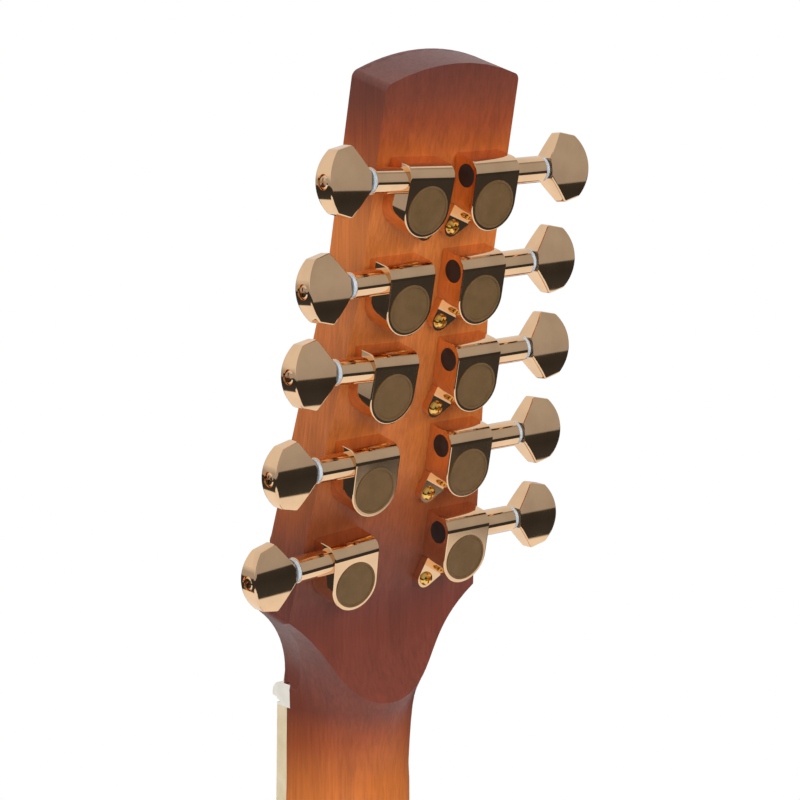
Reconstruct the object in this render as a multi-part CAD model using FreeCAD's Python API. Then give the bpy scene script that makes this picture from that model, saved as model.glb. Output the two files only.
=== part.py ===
import FreeCAD, Part
import math
import os

# Five-course (ten-string) bouzouki: flat-topped teardrop body, long neck and a slab
# headstock with ten sealed worm-gear tuners.
# Millimetres.  +Z runs up the neck to the headstock, +Y is towards the back, +X is the
# treble side.  The origin is where the fretboard ends at the nut, on the centre line of
# the plane in which the fretboard is glued to the neck.

V = FreeCAD.Vector

# ---------------------------------------------------------------- driving dimensions
SCALE_LENGTH = 650.0
FRET_COUNT = 21
HEAD_TILT = 11.0             # degrees, headstock leaning back from the neck
BODY_TILT = 2.2              # degrees, body falling away from the line of the neck

NUT_HALF_WIDTH = 19.5
TWELFTH_HALF_WIDTH = 25.0
BOARD_THICK = 4.4
BINDING_WIDE = 1.5
NECK_DEPTH_NUT = 16.9
NECK_DEPTH_HEEL = 19.6

HEAD_THICK = 14.0            # with the veneer
VENEER_THICK = 1.2
HEAD_HALF_TOP = 22.5         # upper half width, parallel part
SHOULDER_X = 32.8            # half width where the sides turn in
SHOULDER_ROUND = 4.0
TOP_CORNER_ROUND = 2.2
HEAD_CORNER_S = 133.5        # s is measured up the headstock from the lowest tuners
HEAD_TOP_S = 138.1
HEAD_TAPER_S = 78.0
COVE_RADIUS = 29.5
COVE_END_S = -40.0
NUT_S = -46.5                # where the origin lies in the headstock's own axes
NUT_H = -11.4
VOLUTE_START_S = -9.0
VOLUTE_RADIUS = 53.7
VOLUTE_END_Z = -25.0         # the plain neck starts below the volute
HEEL_START_Z = -300.0
TONGUE_END_Z = -461.0

# Post centres (distance from the centre line, s), from the nut end upwards. The two
# sides aren't quite alike, and a tuner may stand a little askew.
TREBLE_POSTS = ((19.0, -1.1), (16.6, 25.6), (14.7, 51.6), (13.0, 75.9), (11.4, 102.5))
BASS_POSTS = ((19.3, 0.3), (15.9, 26.1), (14.2, 51.0), (11.5, 76.0), (11.3, 102.1))
TREBLE_TURNS = (-4.0, -0.5, 2.7, 0.0, 4.0)               # degrees
BASS_TURNS = (0.0, 0.0, 0.0, 0.0, -1.0)

HOUSING_HALF = 7.5
HOUSING_TOP_V = 11.6
HOUSING_HIGH = 9.3
HOUSING_ROUND = 3.6
WORM_V = 7.0                 # worm axis above the post axis
WORM_W = 5.3                 # worm axis above the wood
STEM_RADIUS = 3.5
STEM_END_U = 18.0
BUTTON_START_U = 19.9
BUTTON_END_U = 33.3
BUTTON_HALF_WIDE = 9.3
BUTTON_THICK = 6.4
BUTTON_CROWN = 1.7           # how far the faces fall away towards the two long edges
TREBLE_BUTTON_TURNS = (-9.0, -9.0, -14.0, -17.0, -15.0)  # how the buttons stand at rest
BASS_BUTTON_TURNS = (-12.0, -15.0, -17.0, -13.0, -19.0)
CAP_RADIUS = 6.5
SPINDLE_END_U = 30.0
TAIL_LIP_ZB = -345.0         # string lip of the tailpiece, body frame
TAIL_HOLE_YB = -6.2          # string holes in that lip
EAR_U = -7.0
EAR_V = -7.9
EAR_HIGH = 2.5
EAR_RADIUS = 2.7
POST_RADIUS = 3.0
POST_TIP_W = -25.0

WHEEL_TEETH = 14
GEAR_MODULE = 0.72
WORM_PITCH = math.pi * GEAR_MODULE
WHEEL_RADIUS = WHEEL_TEETH * GEAR_MODULE / 2.0
WORM_RADIUS = WORM_V - WHEEL_RADIUS
ADDENDUM = 0.62
WHEEL_DEDENDUM = 0.85
BACKLASH = 0.12              # taken off the tooth and off the thread at the pitch line
PRESSURE_ANGLE = math.radians(20.0)
WHEEL_LOW_W = WORM_W - 1.6
WHEEL_HIGH_W = WORM_W + 1.6
RUN_FIT = 0.08               # radial play of every turning fit

BODY_JOIN_Z = -377.0
BODY_DROP = 1.5              # soundboard behind the glue plane where the neck joins
BODY_LENGTH = 440.0
BODY_DEPTH = 80.0
BOUT_RADIUS = 175.0
BODY_TOP_HALF = 38.0
TAPER_START_ANGLE = math.radians(15.0)
PLATE_THICK = 3.0
RIB_THICK = 2.5
BODY_BINDING = 1.6
SOUNDHOLE_RADIUS = 42.0
SOUNDHOLE_ZB = -140.0
END_PIN_RADIUS = 6.5         # head of the end pin, which a strap slips over

STRING_DIAMETERS = (0.26, 0.26, 0.36, 0.36, 0.56, 0.56, 0.41, 0.81, 0.56, 1.07)
COURSE_AT_NUT = 7.6
PAIR_AT_NUT = 2.2
COURSE_AT_BRIDGE = 12.5
PAIR_AT_BRIDGE = 2.8
NUT_SLOT_Y = -5.65           # bottom of the string slots in the nut
SADDLE_SLOT_Y = -9.3         # bottom of the string slots in the saddle
NUT_CREST_Z = 3.6
SLOT_PLAY = 0.03

SIN_T = math.sin(math.radians(HEAD_TILT))
COS_T = math.cos(math.radians(HEAD_TILT))
SIN_B = math.sin(math.radians(BODY_TILT))
COS_B = math.cos(math.radians(BODY_TILT))
UP_HEAD = V(0, SIN_T, COS_T)
BACK_HEAD = V(0, COS_T, -SIN_T)
HEAD_ORIGIN = UP_HEAD * (-NUT_S) + BACK_HEAD * (-NUT_H)


# ---------------------------------------------------------------- small helpers
def head_point(x, s, h):
    """A point of the headstock's axes: s up the head, h behind its back face."""
    return HEAD_ORIGIN + V(x, 0, 0) + UP_HEAD * s + BACK_HEAD * h


def on_head(shape):
    """Place a shape drawn with x, y = s and z = -h."""
    turn = FreeCAD.Rotation(V(1, 0, 0), UP_HEAD, BACK_HEAD * -1, "XYZ")
    placed = shape.copy()
    placed.Placement = FreeCAD.Placement(HEAD_ORIGIN, turn).multiply(shape.Placement)
    return placed


def on_body(shape):
    """Place a shape drawn in the body's axes: y behind the soundboard, z up."""
    turn = FreeCAD.Rotation(V(1, 0, 0), BODY_TILT)
    placed = shape.copy()
    frame = FreeCAD.Placement(V(0, BODY_DROP, BODY_JOIN_Z), turn)
    placed.Placement = frame.multiply(shape.Placement)
    return placed


def body_yz(y, z):
    """The body's own y and z of a point given in the main axes."""
    rise = z - BODY_JOIN_Z
    back = y - BODY_DROP
    return (back * COS_B + rise * SIN_B, -back * SIN_B + rise * COS_B)


def box(x0, x1, y0, y1, z0, z1):
    return Part.makeBox(x1 - x0, y1 - y0, z1 - z0, V(x0, y0, z0))


def rod(start, end, radius):
    axis = end - start
    return Part.makeCylinder(radius, axis.Length, start, axis)


def prism(points, direction):
    """A solid swept from a closed polygon."""
    wire = Part.makePolygon(list(points) + [points[0]])
    return Part.Face(wire).extrude(direction)


def line(a, b):
    return Part.LineSegment(a, b).toShape()


def arc(a, b, c):
    return Part.Arc(a, b, c).toShape()


def lathe(profile, centre, axis):
    """A solid of revolution from (radius, height) points about an axis."""
    points = [V(r, 0, z) for r, z in profile]
    face = Part.Face(Part.makePolygon(points + [points[0]]))
    solid = face.revolve(V(0, 0, 0), V(0, 0, 1), 360)
    solid.Placement = FreeCAD.Placement(centre, FreeCAD.Rotation(V(0, 0, 1), axis))
    return solid


def fuse(shapes):
    whole = shapes[0]
    if len(shapes) > 1:
        whole = whole.fuse(list(shapes[1:]))
    return whole.removeSplitter()


def flip(shape):
    """The same piece for the treble side."""
    return shape.mirror(V(0, 0, 0), V(1, 0, 0))


def neck_half_width(z):
    return NUT_HALF_WIDTH + (TWELFTH_HALF_WIDTH - NUT_HALF_WIDTH) * -z / (SCALE_LENGTH / 2.0)


def fret_z(number):
    return -SCALE_LENGTH * (1.0 - 2.0 ** (-number / 12.0))


# ---------------------------------------------------------------- neck and headstock
def d_section(z, half_width, depth):
    """Half ellipse behind the glue plane, as one closed wire."""
    steps = 12
    points = []
    for i in range(steps + 1):
        angle = math.pi * i / steps
        points.append(V(-half_width * math.cos(angle), depth * math.sin(angle), z))
    curve = Part.BSplineCurve()
    curve.interpolate(points)
    return Part.Wire([curve.toShape(), line(points[-1], points[0])])


def head_outline():
    """Closed face of the headstock, drawn with x and y = s."""
    cove_x = NUT_HALF_WIDTH + COVE_RADIUS
    drop = math.sqrt(COVE_RADIUS ** 2 - (cove_x - SHOULDER_X) ** 2)
    shoulder = V(SHOULDER_X, COVE_END_S + drop, 0)
    middle_angle = 0.5 * math.atan2(drop, cove_x - SHOULDER_X)
    middle = V(cove_x - COVE_RADIUS * math.cos(middle_angle),
               COVE_END_S + COVE_RADIUS * math.sin(middle_angle), 0)
    cove_end = V(NUT_HALF_WIDTH, COVE_END_S, 0)
    low = V(NUT_HALF_WIDTH + 8, COVE_END_S - 40, 0)
    taper = V(HEAD_HALF_TOP, HEAD_TAPER_S, 0)
    corner = V(HEAD_HALF_TOP, HEAD_CORNER_S, 0)
    right = [line(low, cove_end), arc(cove_end, middle, shoulder), line(shoulder, taper),
             line(taper, corner)]
    mirror = [edge.mirror(V(0, 0, 0), V(1, 0, 0)) for edge in right]
    top = arc(corner, V(0, HEAD_TOP_S, 0), V(-corner.x, corner.y, 0))
    bottom = line(V(-low.x, low.y, 0), low)
    wire = Part.Wire(Part.__sortEdges__(right + [top] + mirror + [bottom]))
    return Part.Face(wire)


def upright_edges(solid, x, s_low, s_high):
    """Edges across the head's thickness near a half width x, between two values of s."""
    found = []
    for edge in solid.Edges:
        if len(edge.Vertexes) != 2:
            continue
        a, b = edge.Vertexes[0].Point, edge.Vertexes[1].Point
        upright = abs((b - a).normalize().z) > 0.99
        if upright and abs(abs(a.x) - x) < 0.1 and s_low < a.y < s_high:
            found.append(edge)
    return found


def round_corners(solid):
    """Round the upright edges at the shoulders and at the top of the head."""
    solid = solid.makeFillet(SHOULDER_ROUND, upright_edges(solid, SHOULDER_X, -60, 0))
    top = upright_edges(solid, HEAD_HALF_TOP, HEAD_CORNER_S - 1, HEAD_CORNER_S + 1)
    return solid.makeFillet(TOP_CORNER_ROUND, top)


def head_blank():
    """The headstock prism from its front face to well behind its back."""
    front = HEAD_THICK - VENEER_THICK
    slab = head_outline().extrude(V(0, 0, front + 40))
    slab.translate(V(0, 0, -40))
    return on_head(round_corners(slab))


def side_limits():
    """Side view of head and volute, swept across the width."""
    front = -(HEAD_THICK - VENEER_THICK)
    half = 60.0
    face_start = (NUT_H - front) / SIN_T
    arc_end = -50.0
    rise = VOLUTE_RADIUS - math.sqrt(VOLUTE_RADIUS ** 2 - (VOLUTE_START_S - arc_end) ** 2)
    arc_mid = 0.5 * (VOLUTE_START_S + arc_end)
    rise_mid = VOLUTE_RADIUS - math.sqrt(VOLUTE_RADIUS ** 2 - (VOLUTE_START_S - arc_mid) ** 2)
    a = V(-half, 0, -60)
    b = V(-half, 0, face_start)
    c = head_point(-half, 150, front)
    d = head_point(-half, 150, 0)
    e = head_point(-half, VOLUTE_START_S, 0)
    f = head_point(-half, arc_mid, rise_mid)
    g = head_point(-half, arc_end, rise)
    h = V(-half, 80, g.z)
    i = V(-half, 80, -60)
    edges = [line(a, b), line(b, c), line(c, d), line(d, e), arc(e, f, g), line(g, h),
             line(h, i), line(i, a)]
    return Part.Face(Part.Wire(edges)).extrude(V(2 * half, 0, 0))


def volute_core():
    """Neck section swelling up into the full width under the head."""
    sections = ((VOLUTE_END_Z, neck_half_width(VOLUTE_END_Z), NECK_DEPTH_NUT),
                (-14, 19.75, 17.3), (-4, 19.6, 19.2), (3, 19.6, 22.0), (8, 20.0, 25.6),
                (14, 21.5, 31.5), (21, 25.5, 38.0), (29, 34.0, 45.0),
                (37, 45.0, 52.0))
    loft = Part.makeLoft([d_section(*row) for row in sections], True, False)
    return loft.fuse(box(-50, 50, -5, 80, 35, 220))


def shaft_depth(z):
    """The neck thickens evenly from under the nut to the end of the fretboard."""
    run = (VOLUTE_END_Z - z) / (VOLUTE_END_Z - TONGUE_END_Z)
    return NECK_DEPTH_NUT + (NECK_DEPTH_HEEL - NECK_DEPTH_NUT) * run


def neck_shaft():
    ends = (VOLUTE_END_Z, HEEL_START_Z)
    return Part.makeLoft([d_section(z, neck_half_width(z), shaft_depth(z)) for z in ends], True, True)


def heel():
    """The neck deepens in a curve to meet the full depth of the body."""
    rows = ((HEEL_START_Z, shaft_depth(HEEL_START_Z)), (-322, 19.8), (-338, 24.5), (-350, 33.0),
            (-359, 46.0), (-366, 64.0), (-371, 84.0), (-377, 96.0))
    sections = [d_section(z, neck_half_width(z), depth) for z, depth in rows]
    cap = on_body(box(-60, 60, -20, BODY_DEPTH - PLATE_THICK, -60, 120))
    return Part.makeLoft(sections, True, False).common(cap)


def tongue():
    """Wedge that carries the fretboard over the soundboard."""
    top_z = BODY_JOIN_Z + 5
    top = neck_half_width(top_z) - 1.0
    low = neck_half_width(TONGUE_END_Z) - 1.0
    points = [V(-top, 0, top_z), V(top, 0, top_z), V(low, 0, TONGUE_END_Z),
              V(-low, 0, TONGUE_END_Z)]
    return prism(points, V(0, 8, 0))


def tenon():
    return on_body(box(-11, 11, 10, 62, -16, 2))


def make_neck():
    head = head_blank().common(side_limits()).common(volute_core())
    head = head.common(box(-60, 60, -5, 120, VOLUTE_END_Z, 220))
    neck = head.fuse([neck_shaft(), heel(), tongue()])
    neck = neck.cut(on_body(box(-250, 250, 0, 200, -700, 0)))
    neck = fuse([neck, tenon()])
    seat = box(-30, 30, -3, 1.3, 0, 7.35)
    channel = box(-3.1, 3.1, -1, 8.4, -372, 9)
    pocket = box(-5.5, 5.5, -3, 10.4, 8, 30)
    cuts = [seat, channel, pocket] + ear_screw_bores()
    for x, s in tuner_centres():
        cuts.append(rod(head_point(x, s, 1), head_point(x, s, -HEAD_THICK - 1), 5.0))
    for screw in cover_screw_points():
        cuts.append(rod(head_point(screw[0], screw[1], -HEAD_THICK - 1),
                        head_point(screw[0], screw[1], -6.5), 1.05))
    return neck.cut(cuts)


def make_veneer():
    slab = head_outline().extrude(V(0, 0, VENEER_THICK))
    slab.translate(V(0, 0, HEAD_THICK - VENEER_THICK))
    veneer = on_head(round_corners(slab))
    cuts = [box(-60, 60, -40, 60, -100, 6.65), box(-5.5, 5.5, -10, 12, 0, 30)]
    for x, s in tuner_centres():
        cuts.append(rod(head_point(x, s, 1), head_point(x, s, -HEAD_THICK - 1), 5.0))
    for screw in cover_screw_points():
        cuts.append(rod(head_point(screw[0], screw[1], -HEAD_THICK - 1),
                        head_point(screw[0], screw[1], -6.5), 1.05))
    return veneer.cut(cuts)


# ---------------------------------------------------------------- fretboard group
def make_fretboard():
    end_z = fret_z(FRET_COUNT) - 8
    top = neck_half_width(0) - BINDING_WIDE
    low = neck_half_width(end_z) - BINDING_WIDE
    points = [V(-top, 0, 0), V(top, 0, 0), V(low, 0, end_z), V(-low, 0, end_z)]
    board = prism(points, V(0, -BOARD_THICK, 0))
    cuts = []
    for number in range(1, FRET_COUNT + 1):
        z = fret_z(number)
        cuts.append(box(-40, 40, -BOARD_THICK - 1, -BOARD_THICK + 2.2, z - 0.3, z + 0.3))
    for x, z in dot_points():
        cuts.append(rod(V(x, -BOARD_THICK - 1, z), V(x, -BOARD_THICK + 1.5, z), 3.0))
    return board.cut(cuts)


def make_fretboard_binding():
    end_z = fret_z(FRET_COUNT) - 8
    strips = []
    for side in (1, -1):
        top = neck_half_width(0)
        low = neck_half_width(end_z)
        points = [V(side * (top - BINDING_WIDE), 0, 0), V(side * top, 0, 0),
                  V(side * low, 0, end_z), V(side * (low - BINDING_WIDE), 0, end_z)]
        strips.append(prism(points, V(0, -BOARD_THICK, 0)))
    return Part.makeCompound(strips)


def make_frets():
    """Each fret is a rounded crown on a thin tang."""
    frets = []
    for number in range(1, FRET_COUNT + 1):
        z = fret_z(number)
        half = neck_half_width(z) - 0.4
        tang_half = neck_half_width(z) - BINDING_WIDE
        base = -BOARD_THICK
        edges = [line(V(-half, base, z - 1.15), V(-half, base, z + 1.15)),
                 arc(V(-half, base, z + 1.15), V(-half, base - 1.0, z), V(-half, base, z - 1.15))]
        crown = Part.Face(Part.Wire(edges)).extrude(V(2 * half, 0, 0))
        tang = box(-tang_half, tang_half, base - 0.2, base + 2.0, z - 0.3, z + 0.3)
        frets.append(fuse([crown, tang]))
    return Part.makeCompound(frets)


def dot_points():
    points = []
    for number in (3, 5, 7, 10, 12, 15, 17, 19):
        z = 0.5 * (fret_z(number) + fret_z(number - 1))
        if number == 12:
            points += [(-9.5, z), (9.5, z)]
        else:
            points.append((0, z))
    return points


def make_position_dots():
    dots = [rod(V(x, -BOARD_THICK, z), V(x, -BOARD_THICK + 1.5, z), 3.0) for x, z in dot_points()]
    return Part.makeCompound(dots)


def make_nut():
    """Bone nut with a rounded crest and a low ledge that meets the fretboard."""
    half = NUT_HALF_WIDTH
    start = -half
    back = V(start, 1.3, 6.6)
    top = V(start, -2.9, 6.6)
    crest = V(start, -6.4, 2.9)
    crest_low = V(start, -6.4, 2.3)
    ledge = V(start, -BOARD_THICK, 2.0)
    ledge_end = V(start, -BOARD_THICK, 0)
    foot = V(start, 1.3, 0)
    edges = [line(foot, back), line(back, top), arc(top, V(start, -5.6, 5.3), crest),
             line(crest, crest_low), line(crest_low, ledge), line(ledge, ledge_end),
             line(ledge_end, foot)]
    nut = Part.Face(Part.Wire(edges)).extrude(V(2 * half, 0, 0))
    groove = box(-30, 30, -BOARD_THICK - 1, -BOARD_THICK + 1.2, 0.75, 1.4)
    return nut.cut([groove] + [grown_string(index) for index in range(10)])


def make_truss_rod():
    y = 5.2
    bar = rod(V(0, y, -368), V(0, y, 12), 2.6)
    sleeve = rod(V(0, y, 12), V(0, y, 22), 3.2)
    socket = rod(V(0, y, 16), V(0, y, 23), 1.8)
    return fuse([bar, sleeve]).cut(socket)


def cover_screw_points():
    return ((0.0, -8.5), (-7.5, -33.5), (7.5, -33.5))


def make_truss_rod_cover():
    """Bell-shaped plate over the truss rod pocket."""
    points = [V(-11, -37, 0), V(11, -37, 0), V(9.5, -25, 0), V(5.5, -12, 0), V(3.2, -5, 0),
              V(-3.2, -5, 0), V(-5.5, -12, 0), V(-9.5, -25, 0)]
    plate = prism(points, V(0, 0, 1.8))
    plate.translate(V(0, 0, HEAD_THICK))
    for x, s in cover_screw_points():
        plate = plate.cut(rod(V(x, s, HEAD_THICK - 1), V(x, s, HEAD_THICK + 4), 1.15))
    return on_head(plate)


# ---------------------------------------------------------------- strings
def string_x(index, course_step, pair_step):
    """Strings run from the treble side (index 0) to the bass side (index 9)."""
    course = index // 2
    inner = 1 if index % 2 else -1
    return (2 - course) * course_step - inner * pair_step / 2.0


def post_of_string(index):
    """Side (+1 treble, -1 bass) and row (0 = lowest) of the post that holds a string."""
    if index < 5:
        return (1, index)
    return (-1, 9 - index)


def winding_h(index):
    """Height of the first turn of a string on its post."""
    radius = STRING_DIAMETERS[index] / 2.0
    return -HEAD_THICK - 4.3 - radius


def string_points(index):
    """Centre line: tailpiece, saddle, nut crest, post."""
    radius = STRING_DIAMETERS[index] / 2.0
    side, row = post_of_string(index)
    x_bridge = string_x(index, COURSE_AT_BRIDGE, PAIR_AT_BRIDGE)
    x_nut = string_x(index, COURSE_AT_NUT, PAIR_AT_NUT)
    spacing, post_s = post_place(side, row)
    post_x = side * (spacing - POST_RADIUS - 0.06 - radius)
    tail = on_body_point(x_bridge, TAIL_HOLE_YB, TAIL_LIP_ZB - 1.0)
    saddle = V(x_bridge, SADDLE_SLOT_Y - radius, -SCALE_LENGTH)
    crest = V(x_nut, NUT_SLOT_Y - radius, NUT_CREST_Z)
    end = head_point(post_x, post_s, winding_h(index))
    return [tail, saddle, crest, end]


def on_body_point(x, yb, zb):
    return V(x, BODY_DROP + yb * COS_B - zb * SIN_B, BODY_JOIN_Z + yb * SIN_B + zb * COS_B)


def string_solid(index, radius):
    points = string_points(index)
    pieces = []
    for a, b in zip(points[:-1], points[1:]):
        pieces.append(rod(a, b, radius))
    for corner in points[1:-1]:
        pieces.append(Part.makeSphere(radius, corner))
    whole = pieces[0]
    for piece in pieces[1:]:
        whole = whole.fuse(piece)
    return whole


def grown_string(index):
    return string_solid(index, STRING_DIAMETERS[index] / 2.0 + SLOT_PLAY)


def make_strings():
    """Ten strings, each with the ball that anchors it in the tailpiece."""
    solids = []
    for index in range(10):
        tail = string_points(index)[0]
        saddle = string_points(index)[1]
        away = (tail - saddle).normalize()
        ball = rod(tail, tail + away * 3.2, 1.3)
        solids.append(string_solid(index, STRING_DIAMETERS[index] / 2.0).fuse(ball))
    return Part.makeCompound(solids)


# ---------------------------------------------------------------- tuners
# Each tuner is drawn in its own axes: u outwards to the button, v up the headstock,
# w out of its back, with the post on the w axis and the wood's surface at w = 0.
SIDES_AND_ROWS = [(side, row) for side in (1, -1) for row in range(5)]


def post_place(side, row):
    """Distance from the centre line and s of a post; side is +1 for treble, -1 for bass."""
    return TREBLE_POSTS[row] if side > 0 else BASS_POSTS[row]


def tuner_centres():
    centres = []
    for side, row in SIDES_AND_ROWS:
        spacing, post_s = post_place(side, row)
        centres.append((side * spacing, post_s))
    return centres


def on_tuner(shape, side, row):
    """Place a tuner piece on its side and row, with its small fitting error."""
    spacing, post_s = post_place(side, row)
    askew = TREBLE_TURNS[row] if side > 0 else BASS_TURNS[row]
    frame = FreeCAD.Rotation(V(-1, 0, 0), UP_HEAD, BACK_HEAD, "XYZ")
    turn = FreeCAD.Rotation(V(0, 0, 1), askew)
    centre = head_point(-spacing, post_s, 0)
    placed = shape.copy()
    placed.Placement = FreeCAD.Placement(centre, frame.multiply(turn)).multiply(shape.Placement)
    return flip(placed) if side > 0 else placed


def ear_screw_bores():
    """Pilot holes in the wood for the tuners' ear screws."""
    bore = rod(V(EAR_U, EAR_V, 1), V(EAR_U, EAR_V, -8.5), 1.15)
    return [on_tuner(bore, side, row) for side, row in SIDES_AND_ROWS]


def housing():
    """Die-cast case, open on the back for the gear and at the inner end for the worm."""
    blank = box(-HOUSING_HALF, HOUSING_HALF, 0, HOUSING_TOP_V, 0, HOUSING_HIGH)
    round_end = Part.makeCylinder(HOUSING_HALF, HOUSING_HIGH)
    body = blank.fuse(round_end).removeSplitter()
    crest = [e for e in body.Edges
             if all(abs(v.Y - HOUSING_TOP_V) < 0.01 and abs(v.Z - HOUSING_HIGH) < 0.01
                    for v in e.Vertexes)]
    body = body.makeFillet(HOUSING_ROUND, crest)
    rim = [e for e in body.Edges if all(v.Z > HOUSING_HIGH - HOUSING_ROUND - 0.01 for v in e.Vertexes)
           and e.BoundBox.ZMax - e.BoundBox.ZMin < HOUSING_ROUND + 0.01
           and not (e.BoundBox.YMax - e.BoundBox.YMin < 0.01 and abs(e.BoundBox.YMax) > 0.01)]
    body = soften(body, rim, 0.35)
    stem = rod(V(HOUSING_HALF - 0.6, WORM_V, WORM_W), V(STEM_END_U, WORM_V, WORM_W), STEM_RADIUS)
    stem = soften(stem, [stem.Edges[0], stem.Edges[2]], 0.3)
    collar = rod(V(0, 0, -9), V(0, 0, 0.5), 4.9)
    body = fuse([body, stem, collar, ear()])
    cuts = [rod(V(0, 0, 1.6), V(0, 0, HOUSING_HIGH + 1), 6.25),
            rod(V(0, 0, HOUSING_HIGH - 1.1), V(0, 0, HOUSING_HIGH + 1), CAP_RADIUS),
            rod(V(0, 0, -10), V(0, 0, 2), POST_RADIUS + RUN_FIT),
            rod(V(0, 0, -10), V(0, 0, -1.5), 4.1),
            rod(V(-HOUSING_HALF - 1, WORM_V, WORM_W), V(6.3, WORM_V, WORM_W), 3.1),
            rod(V(6, WORM_V, WORM_W), V(STEM_END_U + 1, WORM_V, WORM_W), 2.3 + RUN_FIT),
            rod(V(EAR_U, EAR_V, -1), V(EAR_U, EAR_V, 4), 1.25)]
    return body.cut(cuts)


def soften(shape, edges, radius):
    """Fillet edges one group at a time, keeping the sharp shape if that fails."""
    try:
        rounded = shape.makeFillet(radius, edges)
    except Part.OCCError:
        return shape
    return rounded if rounded.isValid() else shape


def ear_tangent(u, v, turn_sign):
    """Where a straight edge from (u, v) meets the round end of the screw tab."""
    across, along = u - EAR_U, v - EAR_V
    angle = math.atan2(along, across)
    angle += turn_sign * math.acos(EAR_RADIUS / math.hypot(across, along))
    return V(EAR_U + EAR_RADIUS * math.cos(angle), EAR_V + EAR_RADIUS * math.sin(angle), 0)


def ear():
    """Screw tab at the inner lower corner of the case, with a pointed upper corner."""
    pad = rod(V(EAR_U, EAR_V, 0), V(EAR_U, EAR_V, EAR_HIGH), EAR_RADIUS)
    upper = (-7.45, -1.9)
    lower = (-0.9, -7.3)
    points = [V(*upper, 0), ear_tangent(*upper, 1), V(EAR_U, EAR_V, 0), ear_tangent(*lower, -1),
              V(*lower, 0), V(-2, -2, 0)]
    return pad.fuse(prism(points, V(0, 0, EAR_HIGH)))


def tuner_cap():
    """Round cover pressed into the back of the case, with a raised rim."""
    low = HOUSING_HIGH - 1.1
    high = HOUSING_HIGH + 0.3
    inner = CAP_RADIUS - 0.55
    profile = [(0, low), (CAP_RADIUS - 0.02, low), (CAP_RADIUS - 0.02, high - 0.12),
               (CAP_RADIUS - 0.14, high), (inner, high), (inner - 0.12, HOUSING_HIGH + 0.05),
               (0, HOUSING_HIGH + 0.05)]
    return lathe(profile, V(0, 0, 0), V(0, 0, 1))


def tuner_bushing():
    """Hexagonal bushing screwed in from the front of the head."""
    shank = rod(V(0, 0, -2), V(0, 0, -HEAD_THICK), 4.0)
    corners = []
    for i in range(6):
        angle = math.radians(60 * i)
        corners.append(V(5.8 * math.cos(angle), 5.8 * math.sin(angle), -HEAD_THICK))
    hexagon = prism(corners, V(0, 0, -1.6))
    dome = lathe([(0, 0), (5.0, 0), (4.3, 0.9), (0, 0.9)], V(0, 0, -HEAD_THICK - 1.6), V(0, 0, -1))
    bore = rod(V(0, 0, 0), V(0, 0, -HEAD_THICK - 5), POST_RADIUS + RUN_FIT)
    return fuse([shank, hexagon, dome]).cut(bore)


def ear_screw():
    """Domed cross-head screw that holds the case to the wood."""
    shank = rod(V(EAR_U, EAR_V, EAR_HIGH), V(EAR_U, EAR_V, -8), 1.1)
    head = lathe([(0, 0), (1.95, 0), (1.95, 0.35), (1.5, 0.95), (0.8, 1.2), (0, 1.25)],
                 V(EAR_U, EAR_V, EAR_HIGH), V(0, 0, 1))
    cross = box(-1.1, 1.1, -0.22, 0.22, 0.45, 2).fuse(box(-0.22, 0.22, -1.1, 1.1, 0.45, 2))
    cross.translate(V(EAR_U, EAR_V, EAR_HIGH))
    return shank.fuse(head).cut(cross)


def worm_plug():
    """Black end plug that also carries the worm's inner pin."""
    plug = rod(V(-7.35, WORM_V, WORM_W), V(-5.6, WORM_V, WORM_W), 3.07)
    return plug.cut(rod(V(-6.8, WORM_V, WORM_W), V(-5.0, WORM_V, WORM_W), 1.2 + RUN_FIT))


def nylon_washer():
    """Soft washer between the stem and the button."""
    washer = rod(V(STEM_END_U + 0.02, WORM_V, WORM_W), V(STEM_END_U + 1.0, WORM_V, WORM_W), 3.25)
    return washer.cut(rod(V(STEM_END_U - 1, WORM_V, WORM_W), V(20, WORM_V, WORM_W), 2.3 + RUN_FIT))


def worm_shaft(button_turn):
    """Worm, thrust collar, journal and flatted end in one piece."""
    turns = 4
    length = turns * WORM_PITCH
    root = WORM_RADIUS - ADDENDUM - 0.24
    tip = WORM_RADIUS + ADDENDUM
    half_pitch_line = (WORM_PITCH / 2.0 - BACKLASH) / 2.0
    slope = math.tan(PRESSURE_ANGLE)
    half_tip = half_pitch_line - ADDENDUM * slope
    half_root = half_pitch_line + (WORM_RADIUS - root + 0.04) * slope
    inner = root - 0.04
    helix = Part.makeHelix(WORM_PITCH, length, WORM_RADIUS)
    points = [V(inner, 0, -half_root), V(tip, 0, -half_tip), V(tip, 0, half_tip),
              V(inner, 0, half_root)]
    profile = Part.makePolygon(points + [points[0]])
    thread = Part.Wire(helix).makePipeShell([profile], True, True)
    thread.translate(V(0, 0, -length / 2.0))
    thread.rotate(V(0, 0, 0), V(0, 0, 1), 180)
    core = lathe([(0, -6.6), (1.2, -6.6), (1.2, -5.5), (root, -5.5), (root, 5.3), (2.95, 5.3),
                  (2.95, 6.2), (2.3, 6.2), (2.3, BUTTON_START_U), (0, BUTTON_START_U)],
                 V(0, 0, 0), V(0, 0, 1))
    spindle = rod(V(0, 0, BUTTON_START_U - 0.4), V(0, 0, SPINDLE_END_U), 2.0)
    spindle = spindle.common(box(-1.6, 1.6, -3, 3, 18, 33))
    spindle.rotate(V(0, 0, 0), V(0, 0, 1), button_turn)
    screw_hole = rod(V(0, 0, 24), V(0, 0, 32), 0.95)
    worm = core.fuse([thread, spindle]).cut(screw_hole)
    frame = FreeCAD.Rotation(V(0, 1, 0), V(0, 0, 1), V(1, 0, 0), "XYZ")
    worm.Placement = FreeCAD.Placement(V(0, WORM_V, WORM_W), frame)
    return worm


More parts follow.
